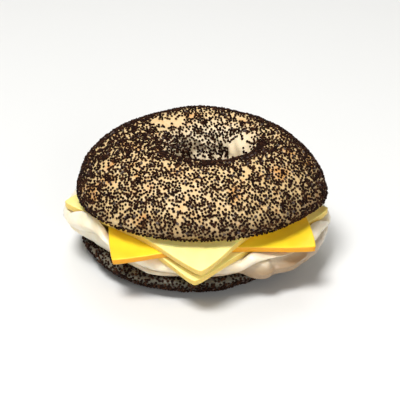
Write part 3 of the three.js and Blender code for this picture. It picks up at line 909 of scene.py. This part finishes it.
def model_seeds(node):
    """Corners like the tips of fused seeds, and their longest edges, in millimetres."""
    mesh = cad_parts[node].data
    mesh.calc_loop_triangles()
    corners = corners_of(mesh)
    _, first, where = np.unique(np.round(corners * 1000).astype(int), axis=0,
                                return_index=True, return_inverse=True)
    places = corners[first]
    triangles = np.empty(len(mesh.loop_triangles) * 3, np.int32)
    mesh.loop_triangles.foreach_get("vertices", triangles)
    neighbours = {}
    for a, b, c in where.ravel()[triangles].reshape(-1, 3).tolist():
        for one, two in ((a, b), (b, c), (c, a)):
            neighbours.setdefault(one, set()).add(two)
            neighbours.setdefault(two, set()).add(one)
    tips, ways = [], []
    for corner, near in neighbours.items():
        arms = places[sorted(near)] - places[corner]
        lengths = np.linalg.norm(arms, axis=1)
        if len(near) == tip_edges and lengths.max() < longest_tip_edge:
            tips.append(places[corner])
            ways.append(arms[lengths.argmax()])
    return np.array(tips), np.array(ways)


for node in ("bagel_top", "bagel_bottom"):
    print(node, "has", len(model_seeds(node)[0]), "corners like the tip of a seed")

# %% [markdown]
# Each seed is a kidney of 36 triangles, a little over a millimetre long. It is laid on the
# crust with its back out, sunk in by a third and turned and tilted at random. Where seeds
# gather, they lie closer and some lie on others.

# %% Seed shape
def kidney():
    """Corners and triangles of a seed one long, with its height upwards."""
    sides, rings = 6, np.array([0.25, 0.5, 0.75]) * math.pi
    angles = np.arange(sides) / sides * 2 * math.pi
    corners = [[0, 0, -0.5]]
    for ring in rings:
        corners += [[0.5 * math.sin(ring) * math.cos(a), 0.5 * math.sin(ring) * math.sin(a),
                     -0.5 * math.cos(ring)] for a in angles]
    corners = np.array(corners + [[0, 0, 0.5]])
    corners[:, 1] = corners[:, 1] * 0.9 - 0.3 * corners[:, 0] ** 2 + 0.04
    corners[:, 2] *= 0.74
    triangles = []
    for side in range(sides):
        after = (side + 1) % sides
        triangles.append((0, 1 + after, 1 + side))
        for ring in range(2):
            low, high = 1 + ring * sides, 1 + (ring + 1) * sides
            triangles.append((low + side, low + after, high + after))
            triangles.append((low + side, high + after, high + side))
        triangles.append((1 + 2 * sides + side, 1 + 2 * sides + after, 1 + 3 * sides))
    return corners, np.array(triangles)


seed_corners, seed_triangles = kidney()
print("a seed has", len(seed_triangles), "triangles")

# %% Scattering
loose_spacing = 1.25
tight_spacing = 0.85
largest_seed = 1.6
seed_lengths = (1.2, 1.55)
seed_proportions = (0.9, 1.05)
tilt = 0.14
raised_share = 0.12
highest_heap = 0.3


def surface_draws(piece, count, draw):
    """Places and normals drawn evenly over a piece's surface."""
    mesh = piece.data
    mesh.calc_loop_triangles()
    triangles = np.empty(len(mesh.loop_triangles) * 3, np.int32)
    mesh.loop_triangles.foreach_get("vertices", triangles)
    triangles = triangles.reshape(-1, 3)
    corners, normals = corners_of(mesh), normals_of(mesh)
    a, b, c = (corners[triangles[:, side]] for side in range(3))
    areas = np.linalg.norm(np.cross(b - a, c - a), axis=1)
    picked = triangles[draw.choice(len(triangles), count, p=areas / areas.sum())]
    weights = draw.dirichlet((1, 1, 1), count)[:, :, None]
    places = (corners[picked] * weights).sum(1)
    outward = (normals[picked] * weights).sum(1)
    return places, outward / np.linalg.norm(outward, axis=1)[:, None]


def spread_out(places, spacings):
    """Which of the places to keep, in order, so that none lies too close to an earlier one."""
    cells, kept = {}, []
    keys = np.floor(places / spacings.max()).astype(int).tolist()
    rows = zip(keys, places.tolist(), spacings.tolist())
    for number, (key, place, spacing) in enumerate(rows):
        near = (cells.get((key[0] + i, key[1] + j, key[2] + k), ())
                for i in (-1, 0, 1) for j in (-1, 0, 1) for k in (-1, 0, 1))
        if all(math.dist(place, other) > spacing for group in near for other in group):
            cells.setdefault(tuple(key), []).append(place)
            kept.append(number)
    return kept


def lay_seeds(name, places, normals, ways, lengths, node, draw):
    """One mesh for each kind of seed, with all the seeds of that kind."""
    count = len(places)
    tilted = normals + draw.normal(0, tilt, (count, 3))
    tilted /= np.linalg.norm(tilted, axis=1)[:, None]
    long_way = ways - tilted * (ways * tilted).sum(1)[:, None]
    long_way /= np.linalg.norm(long_way, axis=1)[:, None]
    wide_way = np.cross(tilted, long_way)
    turns = np.stack([long_way, wide_way, tilted], 1)
    widths = draw.uniform(*seed_proportions, (count, 3))
    shapes = seed_corners[None] * widths[:, None] * lengths[:, None, None]
    middles = places + normals * (lengths * raised_share)[:, None]
    corners = np.einsum("nci,nij->ncj", shapes, turns) + middles[:, None]
    shares = np.array([share for _, share in seed_kinds.values()])
    kinds = draw.choice(len(shares), count, p=shares / shares.sum())
    for number, (kind, (material, _)) in enumerate(seed_kinds.items()):
        chosen = corners[kinds == number]
        steps = np.arange(len(chosen))[:, None, None] * len(seed_corners)
        triangles = (seed_triangles[None] + steps).reshape(-1, 3)
        piece = make_piece(f"{name}_{kind}_seeds", chosen.reshape(-1, 3), triangles.tolist(),
                           node)
        piece.data.materials.append(material)


def scatter(name, piece, node, count, seeded, seed):
    """Lays large seeds about where the model's are, then others by the share seeded."""
    draw = np.random.default_rng(seed)
    places, normals = surface_draws(piece, count, draw)
    share, clump = seeded(places, normals)
    wanted = draw.random(count) < share
    places, normals, clump = places[wanted], normals[wanted], clump[wanted]
    tips, tip_ways = model_seeds(node)
    corners, outward = corners_of(piece.data), normals_of(piece.data)
    nearest = [((corners - tip) ** 2).sum(1).argmin() for tip in tips]
    places = np.vstack([corners[nearest], places])
    normals = np.vstack([outward[nearest], normals])
    ways = np.vstack([tip_ways, draw.normal(size=(len(places) - len(tips), 3))])
    lengths = np.concatenate([np.full(len(tips), largest_seed),
                              draw.uniform(*seed_lengths, len(places) - len(tips))])
    clump = np.concatenate([np.zeros(len(tips)), clump])
    kept = spread_out(places, loose_spacing - (loose_spacing - tight_spacing) * clump)
    heaped = clump * draw.uniform(0, highest_heap, len(places))
    places = places + normals * heaped[:, None]
    print(name, "carries", len(kept), "seeds")
    lay_seeds(name, places[kept], normals[kept], ways[kept], lengths[kept], node, draw)


# %% [markdown]
# The top is thickly seeded all over, in clumps a few millimetres across and most at the front.
# Bare skin shows in lines between the clumps, in patches that are listed here by place and
# radius, along a stretch mark at the front and on one side of the dimple. The seeds lie
# thinner on the dimple's front lip, low down at both sides and along the rim's front left.

# %% Seeds on the top half
bare_patches = (
    (-19, 23, 5), (-12, 25, 5), (-6, 27, 3), (-44, 8, 3), (-38, -14, 3.5), (-24, -17, 3),
    (-14, -23, 3), (19, 28, 3), (26, 26, 2.5), (39, 10, 2.5), (20, -27, 3), (-33, -28, 3.5),
    (16, 14, 6), (20, 10, 5.5), (3, 18, 3), (-3, 18, 2), (-6, -46, 3), (9, -47, 2.5))
stretch_mark = ((-5, -39), (-1, -40), (4, -40.5), (8, -41.5), (13, -43))


def top_seeded(places, normals):
    x, y, z = places.T
    clump = smooth_step(-0.3, 0.1, clouds(places, 3.2, 2, 11))
    bare_line = 1 - smooth_step(0.02, 0.13, np.abs(clouds(places, 4.2, 2, 31)))
    share = 0.6 + 0.4 * clump - 0.5 * bare_line
    share += 0.18 * clouds(places, 14, 1, 4)
    angle = np.arctan2(y - stack_y, x - stack_x)
    share += uneven(angle, (), ((-95, 45, 0.24), (170, 45, -0.14)))
    front_lip = np.exp(-((x - dimple_x) ** 2 / 260 + (y - dimple_y + 22) ** 2 / 40))
    share -= 0.3 * front_lip
    for patch_x, patch_y, size in bare_patches:
        share -= 0.75 * np.exp(-(((x - patch_x) ** 2 + (y - patch_y) ** 2) / size ** 2))
    for mark_x, mark_y in stretch_mark:
        share -= 0.8 * np.exp(-((x - mark_x) ** 2 / 6 + (y - mark_y) ** 2 / 1.6))
    low_front = 1 - smooth_step(cut_level + 4, cut_level + 14, z)
    share += 0.25 * low_front * lobe(angle, -80, 55)
    low_rim = 1 - smooth_step(cut_level + 5, cut_level + 10, z)
    share = np.minimum(share, 1) * (1 - 0.8 * low_rim * lobe(angle, -133, 14))
    low_side = 1 - smooth_step(cut_level + 10, cut_level + 20, z)
    share *= 1 - low_side * (0.5 * lobe(angle, -175, 25) + 0.4 * lobe(angle, 0, 25))
    return np.where((z > cut_level + 1.5) & (normals[:, 2] > -0.9), share, 0), clump


scatter("top", top, "bagel_top", 90000, top_seeded, 5)

# %% Seeds on the bottom half
def bottom_seeded(places, normals):
    clump = smooth_step(-0.25, 0.1, clouds(places, 3.2, 2, 21))
    share = 0.55 + 0.45 * clump
    underneath = normals[:, 2] < -0.95
    away = np.hypot(places[:, 0] - stack_x - bottom_x, places[:, 1] - stack_y - bottom_y)
    on_cut = (places[:, 2] > cut_face_from) & (away < bottom_cut_radius + 0.5)
    share = np.where(underneath, share * 0.25, share)
    return np.where(on_cut | (places[:, 2] < seed_room - 0.02), 0, share), clump


scatter("bottom", bottom, "bagel_bottom", 45000, bottom_seeded, 6)
